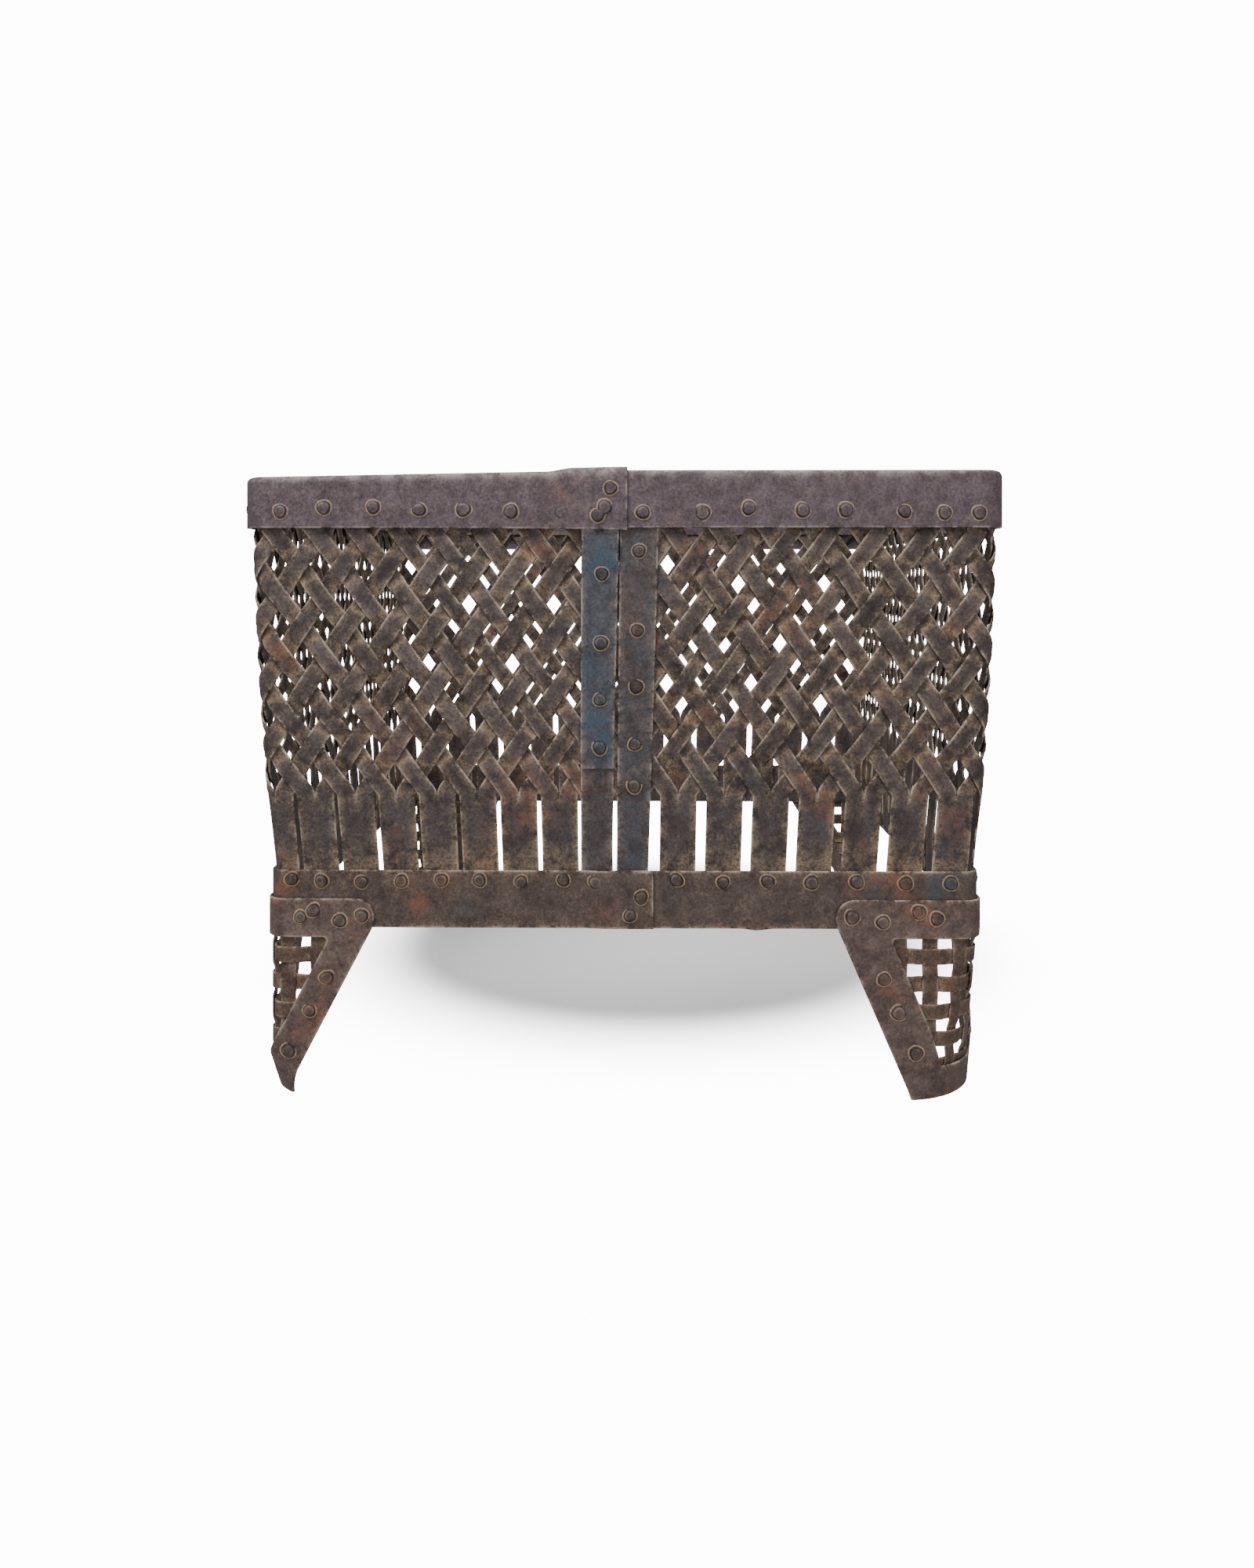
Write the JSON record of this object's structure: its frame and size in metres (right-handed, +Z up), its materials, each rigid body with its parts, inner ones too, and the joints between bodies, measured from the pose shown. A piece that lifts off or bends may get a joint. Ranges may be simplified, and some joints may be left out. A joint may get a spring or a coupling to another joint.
{
  "type": "woven strap-iron basket",
  "caption": "Square open basket riveted and woven from flat iron straps, with a folded rim, a base band and bent-plate corner legs with latticed windows.",
  "frame": {"origin": "on the floor under the middle of the basket's box", "axes": "+Z up, the front wall with the stile and both laps faces -Y, +X to the right of it"},
  "size_m": [0.53, 0.5318, 0.4383],
  "materials": {
    "rim_iron": "pitted, oiled by hands, purple-brown",
    "band_iron": "scaled, with rust and dust round the rivets",
    "strap_iron": "hammered flat iron, grey-brown with ochre dust and rust",
    "stile_iron": "flat iron with worn blue paint",
    "blued_plate": "flat iron with worn blue paint",
    "leg_iron": "dark scaled plate with pale scratched edges",
    "lattice_iron": "rusty thin strip"
  },
  "bodies": {
    "root": {"base_band": "band_iron", "leg_front_left": "leg_iron", "leg_front_right": "leg_iron", "leg_lattice_front_left": "lattice_iron", "leg_lattice_front_right": "lattice_iron", "leg_lattice_rear_left": "lattice_iron", "leg_lattice_rear_right": "lattice_iron", "leg_rear_left": "leg_iron", "leg_rear_right": "leg_iron", "rim_band": "rim_iron", "stile_cover_plate": "blued_plate", "stile_strap_left": "stile_iron", "stile_strap_right": "stile_iron", "wall_strap_front_01": "strap_iron", "wall_strap_front_02": "strap_iron", "wall_strap_front_03": "strap_iron", "wall_strap_front_04": "strap_iron", "wall_strap_front_05": "strap_iron", "wall_strap_front_06": "strap_iron", "wall_strap_front_07": "strap_iron", "wall_strap_front_08": "strap_iron", "wall_strap_front_09": "strap_iron", "wall_strap_front_10": "strap_iron", "wall_strap_front_11": "strap_iron", "wall_strap_front_12": "strap_iron", "wall_strap_front_13": "strap_iron", "wall_strap_front_14": "strap_iron", "wall_strap_front_15": "strap_iron", "wall_strap_front_16": "strap_iron", "wall_strap_front_17": "strap_iron", "wall_straps_left_01": "strap_iron", "wall_straps_left_02": "strap_iron", "wall_straps_left_03": "strap_iron", "wall_straps_left_04": "strap_iron", "wall_straps_left_05": "strap_iron", "wall_straps_left_06": "strap_iron", "wall_straps_left_07": "strap_iron", "wall_straps_left_08": "strap_iron", "wall_straps_rear_01": "strap_iron", "wall_straps_rear_02": "strap_iron", "wall_straps_rear_03": "strap_iron", "wall_straps_rear_04": "strap_iron", "wall_straps_rear_05": "strap_iron", "wall_straps_rear_06": "strap_iron", "wall_straps_rear_07": "strap_iron", "wall_straps_rear_08": "strap_iron", "wall_straps_right_01": "strap_iron", "wall_straps_right_02": "strap_iron", "wall_straps_right_03": "strap_iron", "wall_straps_right_04": "strap_iron", "wall_straps_right_05": "strap_iron", "wall_straps_right_06": "strap_iron", "wall_straps_right_07": "strap_iron", "wall_straps_right_08": "strap_iron"}
  },
  "joints": []
}
